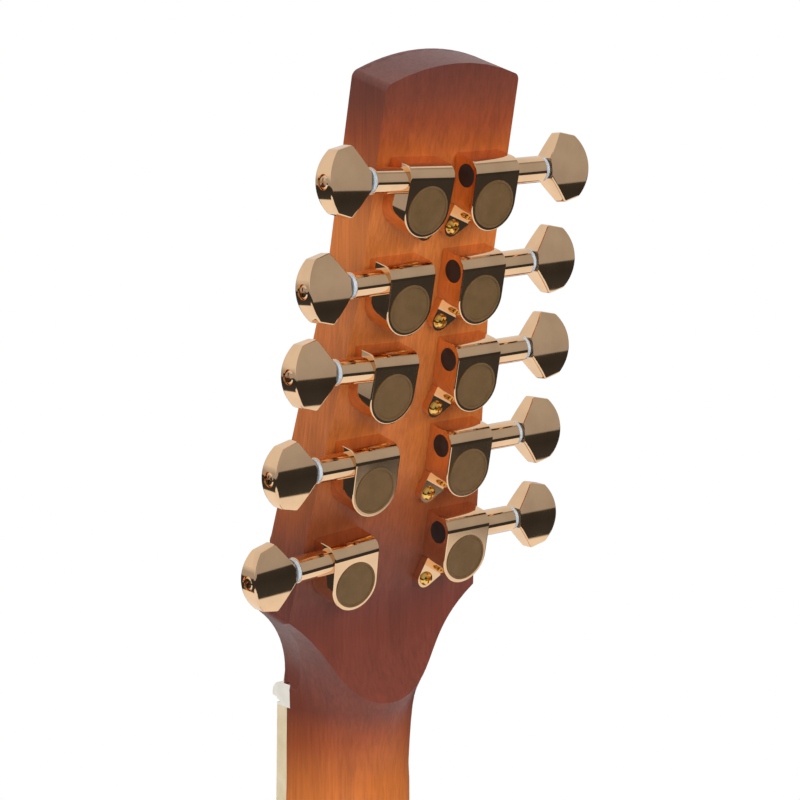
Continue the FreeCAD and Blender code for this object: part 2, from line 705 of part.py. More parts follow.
def button():
    """Button: narrow at the stem, arched at the outer end, with crowned faces."""
    start, end, half = BUTTON_START_U, BUTTON_END_U, BUTTON_HALF_WIDE
    shoulder_u = start + 5.1
    corner_u = end - 3.3
    narrow = 2.7
    outer_half = half - 1.2
    edges = [line(V(start, narrow, 0), V(shoulder_u, half, 0)),
             line(V(shoulder_u, half, 0), V(corner_u, outer_half, 0)),
             arc(V(corner_u, outer_half, 0), V(end, 0, 0), V(corner_u, -outer_half, 0)),
             line(V(corner_u, -outer_half, 0), V(shoulder_u, -half, 0)),
             line(V(shoulder_u, -half, 0), V(start, -narrow, 0)),
             line(V(start, -narrow, 0), V(start, narrow, 0))]
    outline = Part.Face(Part.Wire(edges)).extrude(V(0, 0, 12))
    outline.translate(V(0, 0, -6))
    corners = [e for e in outline.Edges if len(e.Vertexes) == 2 and e.BoundBox.ZLength > 11
               and e.BoundBox.XMin > start + 1]
    outline = outline.makeFillet(0.9, corners)
    thick = BUTTON_THICK / 2.0
    thin = thick - BUTTON_CROWN
    reach = half + 0.5
    a, b = V(10, reach, thin), V(10, -reach, thin)
    c, d = V(10, -reach, -thin), V(10, reach, -thin)
    barrel = [arc(a, V(10, 0, thick), b), line(b, c), arc(c, V(10, 0, -thick), d), line(d, a)]
    blank = Part.Face(Part.Wire(barrel)).extrude(V(30, 0, 0)).common(outline)
    rims = [e for e in blank.Edges if e.BoundBox.XMin > start - 0.1 and e.BoundBox.XMax > start + 0.5
            and e.BoundBox.ZLength < BUTTON_CROWN + 0.1]
    blank = soften(blank, rims, 0.5)
    bore = rod(V(start - 1, 0, 0), V(SPINDLE_END_U + 0.1, 0, 0), 2.02)
    bore = bore.common(box(0, 40, -1.62, 1.62, -3, 3))
    screw_hole = rod(V(SPINDLE_END_U - 1, 0, 0), V(end + 1, 0, 0), 1.05)
    counter = rod(V(end - 1.3, 0, 0), V(end + 1, 0, 0), 2.05)
    return blank.cut([bore, screw_hole, counter])


def button_screw():
    """Small cross-head screw in the end of the button."""
    start = BUTTON_END_U - 1.25
    profile = [(0, 0), (1.95, 0), (1.95, 0.6), (1.4, 1.1), (0, 1.25)]
    head = lathe(profile, V(start, 0, 0), V(1, 0, 0))
    shank = rod(V(start - 5.5, 0, 0), V(start + 0.2, 0, 0), 0.9)
    cross = box(start + 0.45, start + 3, -0.2, 0.2, -1.1, 1.1).fuse(
        box(start + 0.45, start + 3, -1.1, 1.1, -0.2, 0.2))
    return head.fuse(shank).cut(cross)


def turned_button(button_turn):
    """Button and its screw, turned on the worm's axis."""
    knob = Part.makeCompound([button(), button_screw()])
    knob.rotate(V(0, 0, 0), V(1, 0, 0), button_turn)
    knob.translate(V(0, WORM_V, WORM_W))
    return knob


def wheel_profile(w, turn):
    """Closed outline of the toothed wheel at one height, turned by a small angle."""
    base = WHEEL_RADIUS * math.cos(PRESSURE_ANGLE)
    inv_pitch = math.tan(PRESSURE_ANGLE) - PRESSURE_ANGLE
    half_pitch = (WORM_PITCH / 2.0 - BACKLASH) / 2.0 / WHEEL_RADIUS
    half_angles = []
    for radius in (WHEEL_RADIUS + ADDENDUM, WHEEL_RADIUS + 0.15, base + 0.01):
        angle = math.acos(base / radius)
        half_angles.append((radius, half_pitch + inv_pitch - (math.tan(angle) - angle)))
    half_angles.append((WHEEL_RADIUS - WHEEL_DEDENDUM, half_angles[-1][1] - 0.002))
    points = []
    step = 2 * math.pi / WHEEL_TEETH
    for tooth in range(WHEEL_TEETH):
        middle = math.pi / 2 + step * (tooth + 0.5) + turn
        flank = [(r, middle - a) for r, a in reversed(half_angles)]
        flank += [(r, middle + a) for r, a in half_angles]
        points += [V(r * math.cos(a), r * math.sin(a), w) for r, a in flank]
    return Part.makePolygon(points + [points[0]])


def worm_wheel():
    """Gear on the post, its teeth slanted to follow the worm's thread."""
    lead = math.atan(WORM_PITCH / (2 * math.pi * WORM_RADIUS))
    turn = math.tan(lead) * (WHEEL_HIGH_W - WHEEL_LOW_W) / WHEEL_RADIUS / 2.0
    wheel = Part.makeLoft([wheel_profile(WHEEL_LOW_W, -turn), wheel_profile(WHEEL_HIGH_W, turn)],
                          True, True)
    seat = rod(V(0, 0, 0), V(0, 0, 10), 2.0).common(box(-1.55, 1.55, -3, 3, 0, 10))
    return wheel.cut(seat)


def tuning_post():
    """Post with a shoulder under the wheel, a flatted seat, a waist and a string hole."""
    profile = [(0, WHEEL_HIGH_W - 0.1), (1.97, WHEEL_HIGH_W - 0.1), (1.97, WHEEL_LOW_W),
               (POST_RADIUS, WHEEL_LOW_W), (POST_RADIUS, -HEAD_THICK - 7.2), (2.6, -HEAD_THICK - 8.0),
               (2.6, -HEAD_THICK - 9.2), (POST_RADIUS, -HEAD_THICK - 9.9), (POST_RADIUS, POST_TIP_W + 0.6),
               (2.4, POST_TIP_W), (0, POST_TIP_W)]
    post = lathe(profile, V(0, 0, 0), V(0, 0, 1))
    flats = box(-5, -1.52, -5, 5, WHEEL_LOW_W, 9).fuse(box(1.52, 5, -5, 5, WHEEL_LOW_W, 9))
    thread_hole = rod(V(0, 0, 1.5), V(0, 0, 9), 0.85)
    string_hole = rod(V(-5, 0, -HEAD_THICK - 8.6), V(5, 0, -HEAD_THICK - 8.6), 0.8)
    return post.cut([flats, thread_hole, string_hole])


def wheel_screw():
    """Screw that holds the wheel on the post."""
    head = lathe([(0, 0), (2.4, 0), (2.2, 0.8), (0, 0.9)], V(0, 0, WHEEL_HIGH_W + 0.02), V(0, 0, 1))
    shank = rod(V(0, 0, WHEEL_HIGH_W + 0.1), V(0, 0, 2.0), 0.8)
    slot = box(-3, 3, -0.25, 0.25, WHEEL_HIGH_W + 0.5, 10)
    return head.fuse(shank).cut(slot)


def string_turns(index):
    """Three turns of string round the post, above the incoming string."""
    radius = STRING_DIAMETERS[index] / 2.0
    ring_radius = POST_RADIUS + 0.03 + radius
    first = winding_h(index) - 2 * radius - 0.12
    turns = []
    for i in range(3):
        ring = Part.makeTorus(ring_radius, radius, V(0, 0, first - i * (2 * radius + 0.03)), V(0, 0, 1))
        turns.append(ring)
    return turns


def string_of_post(side, row):
    for index in range(10):
        if post_of_string(index) == (side, row):
            return index
    raise ValueError("no string for this post")


# ---------------------------------------------------------------- body
def body_outline(inset, top_inset=None):
    """Teardrop outline in the body's x and z, shrunk evenly by inset."""
    top = inset if top_inset is None else top_inset
    c, s = math.cos(TAPER_START_ANGLE), math.sin(TAPER_START_ANGLE)
    centre_z = BOUT_RADIUS - BODY_LENGTH
    near = BODY_TOP_HALF ** 2 + centre_z ** 2 - BOUT_RADIUS ** 2
    extra = near / (2 * BOUT_RADIUS - 2 * (BODY_TOP_HALF * c - centre_z * s))
    side_radius = BOUT_RADIUS + extra - inset
    side_x = -extra * c
    side_z = centre_z - extra * s
    bout = BOUT_RADIUS - inset
    top_x = side_x + math.sqrt(side_radius ** 2 - (-top - side_z) ** 2)
    top_angle = math.atan2(-top - side_z, top_x - side_x)
    join = V(bout * c, 0, centre_z + bout * s)
    middle_angle = 0.5 * (top_angle + TAPER_START_ANGLE)
    middle = V(side_x + side_radius * math.cos(middle_angle), 0,
               side_z + side_radius * math.sin(middle_angle))
    corner = V(top_x, 0, -top)
    left = [V(-p.x, 0, p.z) for p in (corner, middle, join)]
    edges = [line(left[0], corner), arc(corner, middle, join),
             arc(join, V(0, 0, centre_z - bout), left[2]), arc(left[2], left[1], left[0])]
    return Part.Wire(edges)


def body_plate(y0, y1, inset):
    plate = Part.Face(body_outline(inset)).extrude(V(0, y1 - y0, 0))
    plate.translate(V(0, y0, 0))
    return plate


def ring_plate(y0, y1, outer, inner):
    return body_plate(y0, y1, outer).cut(body_plate(y0 - 1, y1 + 1, inner))


def soundhole_cylinder(radius, y0, y1):
    return rod(V(0, y0, SOUNDHOLE_ZB), V(0, y1, SOUNDHOLE_ZB), radius)


def make_soundboard():
    plate = body_plate(0, PLATE_THICK, BODY_BINDING)
    rebate = soundhole_cylinder(54, -1, 1.0).cut(soundhole_cylinder(46, -2, 2))
    return on_body(plate.cut([soundhole_cylinder(SOUNDHOLE_RADIUS, -5, 10), rebate]))


def make_rosette():
    """Three inlaid rings round the soundhole."""
    rings = []
    for outer, inner in ((54, 52), (52, 48), (48, 46)):
        ring = soundhole_cylinder(outer, 0, 1.0).cut(soundhole_cylinder(inner, -1, 2))
        rings.append(on_body(ring))
    return Part.makeCompound(rings)


def make_back():
    return on_body(body_plate(BODY_DEPTH - PLATE_THICK, BODY_DEPTH, BODY_BINDING))


def make_ribs():
    ribs = ring_plate(PLATE_THICK, BODY_DEPTH - PLATE_THICK, 0, RIB_THICK)
    mortise = box(-11.1, 11.1, 9.9, 62.1, -20, 5)
    return on_body(ribs.cut([mortise, end_pin_bore(), *tail_screw_bores()]))


def make_body_binding():
    strips = [ring_plate(0, PLATE_THICK, 0, BODY_BINDING),
              ring_plate(BODY_DEPTH - PLATE_THICK, BODY_DEPTH, 0, BODY_BINDING)]
    return Part.makeCompound([on_body(strip) for strip in strips])


def make_linings():
    """Strips that widen the gluing edge of the ribs, cut away at both blocks."""
    depth = 11.0
    cuts = [box(-60, 60, 0, 100, -64, 10), box(-42, 42, 0, 100, -450, -405)]
    front = ring_plate(PLATE_THICK, PLATE_THICK + depth, RIB_THICK, RIB_THICK + 5)
    back_y = BODY_DEPTH - PLATE_THICK
    back = ring_plate(back_y - depth, back_y, RIB_THICK, RIB_THICK + 5)
    return Part.makeCompound([on_body(front.cut(cuts)), on_body(back.cut(cuts))])


def make_head_block():
    inside = body_plate(PLATE_THICK, BODY_DEPTH - PLATE_THICK, RIB_THICK)
    block = inside.common(box(-60, 60, 0, 100, -62, 5))
    return on_body(block.cut(box(-11.1, 11.1, 9.9, 62.1, -16.1, 5)))


def make_tail_block():
    inside = body_plate(PLATE_THICK, BODY_DEPTH - PLATE_THICK, RIB_THICK)
    block = inside.common(box(-38, 38, 0, 100, -450, -410))
    return on_body(block.cut([end_pin_bore(), *tail_screw_bores()]))


def make_braces():
    """Transverse bars under the soundboard and on the back, with lower ends."""
    inside = body_plate(PLATE_THICK, BODY_DEPTH - PLATE_THICK, RIB_THICK + 5.3)
    bars = []
    for zb in (-78, -200, -300):
        bars.append(box(-200, 200, PLATE_THICK, PLATE_THICK + 13, zb - 4, zb + 4))
    back_y = BODY_DEPTH - PLATE_THICK
    for zb in (-90, -190, -290, -380):
        bars.append(box(-200, 200, back_y - 11, back_y, zb - 5, zb + 5))
    return Part.makeCompound([on_body(bar.common(inside)) for bar in bars])


# ---------------------------------------------------------------- bridge and tailpiece
def bridge_zb():
    return body_yz(SADDLE_SLOT_Y, -SCALE_LENGTH)[1]


def saddle_front_yb():
    return body_yz(SADDLE_SLOT_Y, -SCALE_LENGTH)[0]


def make_bridge_base():
    """Floating bridge: two feet, a low arch between them and a tapering beam."""
    zb = bridge_zb()
    top = saddle_front_yb() + 4.5
    points = [V(-62, 0, 0), V(-62, -3.5, 0), V(-50, -7.5, 0), V(-38, top, 0), V(38, top, 0),
              V(50, -7.5, 0), V(62, -3.5, 0), V(62, 0, 0), V(34, 0, 0), V(26, -4.5, 0), V(-26, -4.5, 0),
              V(-34, 0, 0)]
    front = prism(points, V(0, 0, 14))
    front.translate(V(0, 0, zb - 7))
    side = [V(-70, 0, zb - 7), V(-70, 0, zb + 7), V(-70, -4, zb + 7), V(-70, top, zb + 3.2),
            V(-70, top, zb - 3.2), V(-70, -4, zb - 7)]
    base = front.common(prism(side, V(140, 0, 0)))
    slot = box(-34.05, 34.05, top - 1, top + 3.05, zb - 1.55, zb + 1.55)
    return on_body(base.cut(slot))


def make_bridge_saddle():
    zb = bridge_zb()
    top = saddle_front_yb()
    saddle = box(-34, 34, top - 0.9, top + 7.5, zb - 1.5, zb + 1.5)
    crest = [e for e in saddle.Edges if abs(e.BoundBox.YMin - top + 0.9) < 0.01
             and e.BoundBox.YMax - e.BoundBox.YMin < 0.01 and e.BoundBox.XMax - e.BoundBox.XMin > 10]
    saddle = on_body(saddle.makeFillet(1.1, crest))
    return saddle.cut([grown_string(index) for index in range(10)])


def tail_screw_points():
    return ((-9.0, 14.0), (9.0, 14.0), (0.0, 27.0))


def tail_screw_bores():
    return [rod(V(x, y, -BODY_LENGTH + 14), V(x, y, -BODY_LENGTH - 5), 1.3)
            for x, y in tail_screw_points()]


def end_pin_bore():
    return rod(V(0, 48, -BODY_LENGTH - 5), V(0, 48, -BODY_LENGTH + 30), 4.05)


def make_tailpiece():
    """Sheet-metal tailpiece: string lip, sloping plate and a flange on the tail."""
    thick = 1.6
    lip_z = TAIL_LIP_ZB
    edge_z = -BODY_LENGTH - 0.1
    points = [V(-60, -9.6, lip_z), V(-60, -9.6, lip_z + thick), V(-60, -2.2, lip_z + thick),
              V(-60, -0.1, edge_z + 12), V(-60, -0.1, edge_z - thick - 2),
              V(-60, -thick - 0.1, edge_z - thick - 2),
              V(-60, -thick - 0.1, edge_z + 12), V(-60, -thick - 2.2, lip_z)]
    side = prism(points, V(120, 0, 0))
    plan = [V(-33, -20, lip_z + 3), V(33, -20, lip_z + 3), V(30, -20, lip_z - 30), V(14, -20, edge_z + 6),
            V(14, -20, edge_z - 6), V(-14, -20, edge_z - 6), V(-14, -20, edge_z + 6), V(-30, -20, lip_z - 30)]
    plate = side.common(prism(plan, V(0, 60, 0)))
    centre_z = BOUT_RADIUS - BODY_LENGTH
    outer = rod(V(0, -thick - 0.1, centre_z), V(0, 34, centre_z), BOUT_RADIUS + 0.1 + thick)
    inner = rod(V(0, -5, centre_z), V(0, 40, centre_z), BOUT_RADIUS + 0.1)
    flange = outer.cut(inner).common(box(-14, 14, -thick - 0.1, 34, -BODY_LENGTH - 10, -BODY_LENGTH + 10))
    limit = rod(V(0, -20, centre_z), V(0, 40, centre_z), BOUT_RADIUS + 0.1 + thick)
    piece = fuse([plate.common(limit), flange])
    holes = [rod(V(x, y, -BODY_LENGTH + 5), V(x, y, -BODY_LENGTH - 9), 1.5) for x, y in tail_screw_points()]
    piece = on_body(piece.cut(holes))
    return piece.cut([grown_string(index) for index in range(10)])


def wood_screw(base, axis, reach):
    """Pan-head screw: the head stands on base, the shank runs against the axis."""
    head = lathe([(0, 0), (2.0, 0), (1.9, 0.8), (1.2, 1.3), (0, 1.4)], base, axis)
    shank = rod(base + axis * 0.2, base - axis * reach, 1.0)
    side = axis.cross(V(1, 0, 0))
    slot = rod(base + axis * 1.45 - side * 3, base + axis * 1.45 + side * 3, 0.4)
    return head.fuse(shank).cut(slot)


def make_small_screws():
    """Screws of the truss rod cover and of the tailpiece, all alike."""
    screws = []
    for x, s in cover_screw_points():
        screws.append(wood_screw(head_point(x, s, -HEAD_THICK - 1.8), BACK_HEAD * -1, 8.5))
    axis = V(0, SIN_B, -COS_B)
    for x, y in tail_screw_points():
        start = -BODY_LENGTH - 1.72
        screws.append(wood_screw(on_body_point(x, y, start), axis, 13.0))
    return Part.makeCompound(screws)


def make_end_pin():
    """Strap button and end pin in one turned piece."""
    profile = [(0, -24), (3.9, -24), (4.0, 0.0), (6.5, 0.0), (6.5, 1.5), (4.6, 3.5), (4.4, 6.5),
               (END_PIN_RADIUS, 8.8), (END_PIN_RADIUS, 10.8), (5.6, 12.2), (3.0, 12.9), (0, 13.0)]
    pin = lathe(profile, V(0, 48, -BODY_LENGTH - 0.2), V(0, 0, -1))
    return on_body(pin)


# ---------------------------------------------------------------- export
def save(name, shape):
    solids = shape.Solids
    bad = [i for i, solid in enumerate(solids) if not solid.isValid() or solid.Volume <= 0]
    whole = solids[0] if len(solids) == 1 else Part.makeCompound(solids)
    whole.exportStep("parts/" + name + ".step")
    bounds = whole.BoundBox
    print("%-24s solids %3d  volume %10.1f  z %7.1f..%7.1f %s" % (
        name, len(solids), sum(s.Volume for s in solids), bounds.ZMin, bounds.ZMax,
        "BAD " + str(bad) if bad else ""))


def tuner_number(side, row):
    """Tuners 1 to 5 are on the treble side from the nut up, 6 to 10 on the bass side."""
    return row + 1 if side > 0 else row + 6


def make_fixed_tuner_parts():
    makers = {"tuner_housings": housing, "tuner_caps": tuner_cap, "tuner_bushings": tuner_bushing,
              "tuner_screws": ear_screw, "worm_plugs": worm_plug, "nylon_washers": nylon_washer}
    for name, maker in makers.items():
        piece = maker()
        copies = [on_tuner(piece, side, row) for side, row in SIDES_AND_ROWS]
        save(name, Part.makeCompound(copies))


def make_moving_tuner_parts():
    turning = [tuning_post(), worm_wheel(), wheel_screw()]
    for side, row in SIDES_AND_ROWS:
        number = tuner_number(side, row)
        button_turn = TREBLE_BUTTON_TURNS[row] if side > 0 else BASS_BUTTON_TURNS[row]
        post = Part.makeCompound(turning + string_turns(string_of_post(side, row)))
        save("button_%d" % number, on_tuner(turned_button(button_turn), side, row))
        save("worm_shaft_%d" % number, on_tuner(worm_shaft(button_turn), side, row))
        save("post_%d" % number, on_tuner(post, side, row))


def main():
    os.makedirs("parts", exist_ok=True)
    makers = {"neck": make_neck, "headstock_veneer": make_veneer, "truss_rod": make_truss_rod,
              "truss_rod_cover": make_truss_rod_cover, "fretboard": make_fretboard,
              "fretboard_binding": make_fretboard_binding, "frets": make_frets,
              "position_dots": make_position_dots, "nut": make_nut, "soundboard": make_soundboard,
              "back": make_back, "ribs": make_ribs, "body_binding": make_body_binding,
              "linings": make_linings, "head_block": make_head_block, "tail_block": make_tail_block,
              "braces": make_braces, "rosette": make_rosette, "bridge_base": make_bridge_base,
              "bridge_saddle": make_bridge_saddle, "tailpiece": make_tailpiece,
              "small_screws": make_small_screws, "end_pin": make_end_pin, "strings": make_strings}
    for name, maker in makers.items():
        save(name, maker())
    make_fixed_tuner_parts()
    make_moving_tuner_parts()


main()
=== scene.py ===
import math

import bmesh
import bpy
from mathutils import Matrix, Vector


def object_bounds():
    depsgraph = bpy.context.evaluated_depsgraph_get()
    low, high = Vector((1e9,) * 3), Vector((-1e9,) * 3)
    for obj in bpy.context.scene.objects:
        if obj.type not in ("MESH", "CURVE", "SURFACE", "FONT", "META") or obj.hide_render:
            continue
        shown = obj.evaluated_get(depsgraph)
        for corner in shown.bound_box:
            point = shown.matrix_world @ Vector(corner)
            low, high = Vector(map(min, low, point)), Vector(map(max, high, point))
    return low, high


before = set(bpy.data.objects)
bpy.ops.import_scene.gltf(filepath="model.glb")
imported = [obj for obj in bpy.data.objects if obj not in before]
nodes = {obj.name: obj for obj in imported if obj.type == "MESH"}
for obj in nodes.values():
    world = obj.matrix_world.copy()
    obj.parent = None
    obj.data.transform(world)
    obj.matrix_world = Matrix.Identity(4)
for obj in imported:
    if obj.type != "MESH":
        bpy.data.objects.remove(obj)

cad_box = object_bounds()

# Metres and degrees, in the frame of the CAD.
CAMERA_PLACE = (0.553358, 0.680370, 0.265055)
CAMERA_TURN = (78.3052, -0.1836, 139.8859)
LENS_MM = 147.79
SENSOR_MM = 36.0
FLOOR_RADIUS = 2.0
FLOOR_GAP = 0.0005                   # between the floor and the lowest point
FADE_START, FADE_END = 0.7, 1.9      # where the floor begins and ends fading out
BURST_LOW_Z, BURST_HIGH_Z = -0.030, 0.182
BODY_LOW_Z, BODY_HIGH_Z = -0.817, -0.377


# ---------------------------------------------------------------- camera and light
def make_camera():
    """Long lens from behind, a little above the headstock and from the treble side."""
    data = bpy.data.cameras.new("Camera")
    data.sensor_width = SENSOR_MM
    data.lens = LENS_MM
    data.clip_start = 0.05
    data.clip_end = 60.0
    camera = bpy.data.objects.new("Camera", data)
    camera.location = CAMERA_PLACE
    camera.rotation_euler = [math.radians(a) for a in CAMERA_TURN]
    bpy.context.scene.collection.objects.link(camera)
    bpy.context.scene.camera = camera


def make_world():
    """White studio whose walls are seen in the plated metal: grey front, dark band, pale floor."""
    world = bpy.data.worlds.new("Studio")
    bpy.context.scene.world = world
    world.use_nodes = True
    tree = world.node_tree
    tree.nodes.clear()
    out = tree.nodes.new("ShaderNodeOutputWorld")
    place = tree.nodes.new("ShaderNodeTexCoord")
    split = tree.nodes.new("ShaderNodeSeparateXYZ")
    tree.links.new(place.outputs["Generated"], split.inputs[0])
    by_height = ramp(tree, rescale(tree, split.outputs["Z"], -1, 1), [
        (0.00, (0.95, 0.95, 0.95)), (0.248, (0.92, 0.92, 0.92)), (0.255, (0.05, 0.05, 0.05)),
        (0.36, (0.035, 0.035, 0.035)), (0.425, (0.04, 0.04, 0.04)), (0.430, (0.40, 0.40, 0.41)),
        (0.60, (0.44, 0.44, 0.45)), (1.0, (0.44, 0.44, 0.45))])
    far = ramp(tree, rescale(tree, split.outputs["Y"], -1, 1), [
        (0.0, (0.80, 0.80, 0.80)), (0.55, (0.75, 0.75, 0.75)), (0.585, (0.24, 0.24, 0.24)),
        (0.64, (0.36, 0.36, 0.36)), (0.68, (0.44, 0.44, 0.44))])
    upper = ramp(tree, rescale(tree, split.outputs["Z"], -1, 1),
                 [(0.50, (0, 0, 0)), (0.58, (1, 1, 1))])
    studio = mix(tree, upper, by_height, far)
    light = tree.nodes.new("ShaderNodeBackground")
    tree.links.new(studio, light.inputs["Color"])
    light.inputs["Strength"].default_value = 1.0
    backdrop = tree.nodes.new("ShaderNodeBackground")
    backdrop.inputs["Color"].default_value = (1, 1, 1, 1)
    backdrop.inputs["Strength"].default_value = 1.0
    ray = tree.nodes.new("ShaderNodeLightPath")
    choose = tree.nodes.new("ShaderNodeMixShader")
    tree.links.new(ray.outputs["Is Camera Ray"], choose.inputs[0])
    tree.links.new(light.outputs[0], choose.inputs[1])
    tree.links.new(backdrop.outputs[0], choose.inputs[2])
    tree.links.new(choose.outputs[0], out.inputs["Surface"])


def area_light(name, place, target, size, power, in_gloss):
    data = bpy.data.lights.new(name, "AREA")
    data.shape = "RECTANGLE"
    data.size, data.size_y = size
    data.energy = power
    lamp = bpy.data.objects.new(name, data)
    lamp.location = place
    aim = Vector(target) - Vector(place)
    lamp.rotation_euler = aim.to_track_quat("-Z", "Y").to_euler()
    lamp.visible_glossy = in_gloss
    lamp.visible_camera = False
    bpy.context.scene.collection.objects.link(lamp)


def make_lights():
    head = (0, 0.03, 0.1)
    area_light("Key", (-0.9, 1.6, 1.5), head, (1.4, 1.2), 26, False)
    area_light("Fill", (1.9, 0.9, 0.6), head, (1.2, 1.4), 19, False)
    area_light("Front", (-0.6, -2.0, 0.9), (0, 0, -0.4), (2.0, 2.0), 34, False)
    area_light("Body", (0.4, 2.2, 0.4), (0, 0, -0.6), (1.6, 1.6), 26, False)


def make_floor():
    """Pale studio floor that fades out into the white background."""
    low = cad_box[0]
    mesh = bmesh.new()
    bmesh.ops.create_circle(mesh, cap_ends=True, radius=FLOOR_RADIUS, segments=96)
    floor = to_object(mesh, "Floor")
    floor.location.z = low[2] - FLOOR_GAP
    floor.visible_glossy = False
    mat, tree, bsdf = material("Floor paper")
    place = object_coordinates(tree)
    grain = noise(tree, place, 60, 4)
    shade = ramp(tree, grain, [(0.3, (0.80, 0.80, 0.80)), (0.7, (0.84, 0.84, 0.84))])
    tree.links.new(shade, bsdf.inputs["Base Color"])
    bsdf.inputs["Roughness"].default_value = 0.85
    radius = tree.nodes.new("ShaderNodeVectorMath")
    radius.operation = "LENGTH"
    tree.links.new(place, radius.inputs[0])
    fade = ramp(tree, rescale(tree, radius.outputs["Value"], FADE_START, FADE_END),
                [(0.0, (1, 1, 1)), (1.0, (0, 0, 0))])
    tree.links.new(fade, bsdf.inputs["Alpha"])
    floor.data.materials.append(mat)


# ---------------------------------------------------------------- node helpers
def material(name):
    mat = bpy.data.materials.new(name)
    mat.use_nodes = True
    return mat, mat.node_tree, mat.node_tree.nodes["Principled BSDF"]


def object_coordinates(tree, scale=(1, 1, 1)):
    place = tree.nodes.new("ShaderNodeTexCoord")
    stretch = tree.nodes.new("ShaderNodeMapping")
    stretch.inputs["Scale"].default_value = scale
    tree.links.new(place.outputs["Object"], stretch.inputs["Vector"])
    return stretch.outputs["Vector"]


def noise(tree, place, scale, detail=3.0, rough=0.5):
    texture = tree.nodes.new("ShaderNodeTexNoise")
    texture.inputs["Scale"].default_value = scale
    texture.inputs["Detail"].default_value = detail
    texture.inputs["Roughness"].default_value = rough
    tree.links.new(place, texture.inputs["Vector"])
    return texture.outputs["Fac"]


def rescale(tree, value, low, high, to_low=0.0, to_high=1.0):
    node = tree.nodes.new("ShaderNodeMapRange")
    node.inputs["From Min"].default_value = low
    node.inputs["From Max"].default_value = high
    node.inputs["To Min"].default_value = to_low
    node.inputs["To Max"].default_value = to_high
    tree.links.new(value, node.inputs["Value"])
    return node.outputs["Result"]


def ramp(tree, value, stops):
    node = tree.nodes.new("ShaderNodeValToRGB")
    elements = node.color_ramp.elements
    while len(elements) < len(stops):
        elements.new(0.5)
    for element, (place, colour) in zip(elements, stops):
        element.position = place
        element.color = (*colour, 1)
    tree.links.new(value, node.inputs["Fac"])
    return node.outputs["Color"]


def mix(tree, factor, first, second, blend="MIX"):
    node = tree.nodes.new("ShaderNodeMix")
    node.data_type = "RGBA"
    node.blend_type = blend
    for value, socket in ((factor, node.inputs[0]), (first, node.inputs[6]), (second, node.inputs[7])):
        if hasattr(value, "is_output"):
            tree.links.new(value, socket)
        elif isinstance(value, tuple):
            socket.default_value = (*value, 1)
        else:
            socket.default_value = value
    return node.outputs[2]


def math_node(tree, operation, first, second=0.0):
    node = tree.nodes.new("ShaderNodeMath")
    node.operation = operation
    for value, socket in ((first, node.inputs[0]), (second, node.inputs[1])):
        if hasattr(value, "is_output"):
            tree.links.new(value, socket)
        else:
            socket.default_value = value
    return node.outputs[0]


def bump(tree, bsdf, height, strength, distance=0.0002):
    node = tree.nodes.new("ShaderNodeBump")
    node.inputs["Strength"].default_value = strength
    node.inputs["Distance"].default_value = distance
    tree.links.new(height, node.inputs["Height"])
    tree.links.new(node.outputs[0], bsdf.inputs["Normal"])


def srgb(red, green, blue):
    """Linear colour of the usual 0 to 255 display values."""
    return tuple(((c / 255 + 0.055) / 1.055) ** 2.4 if c > 10 else c / 255 / 12.92
                 for c in (red, green, blue))


def to_object(mesh, name):
    data = bpy.data.meshes.new(name)
    mesh.to_mesh(data)
    mesh.free()
    piece = bpy.data.objects.new(name, data)
    bpy.context.scene.collection.objects.link(piece)
    return piece


# ---------------------------------------------------------------- materials
def wood_grain(tree, stretch, fine, coarse):
    """Streaks along one axis: fine fibres and broader bands, as two values."""
    place = object_coordinates(tree, stretch)
    return noise(tree, place, fine, 5, 0.6), noise(tree, place, coarse, 2, 0.5)


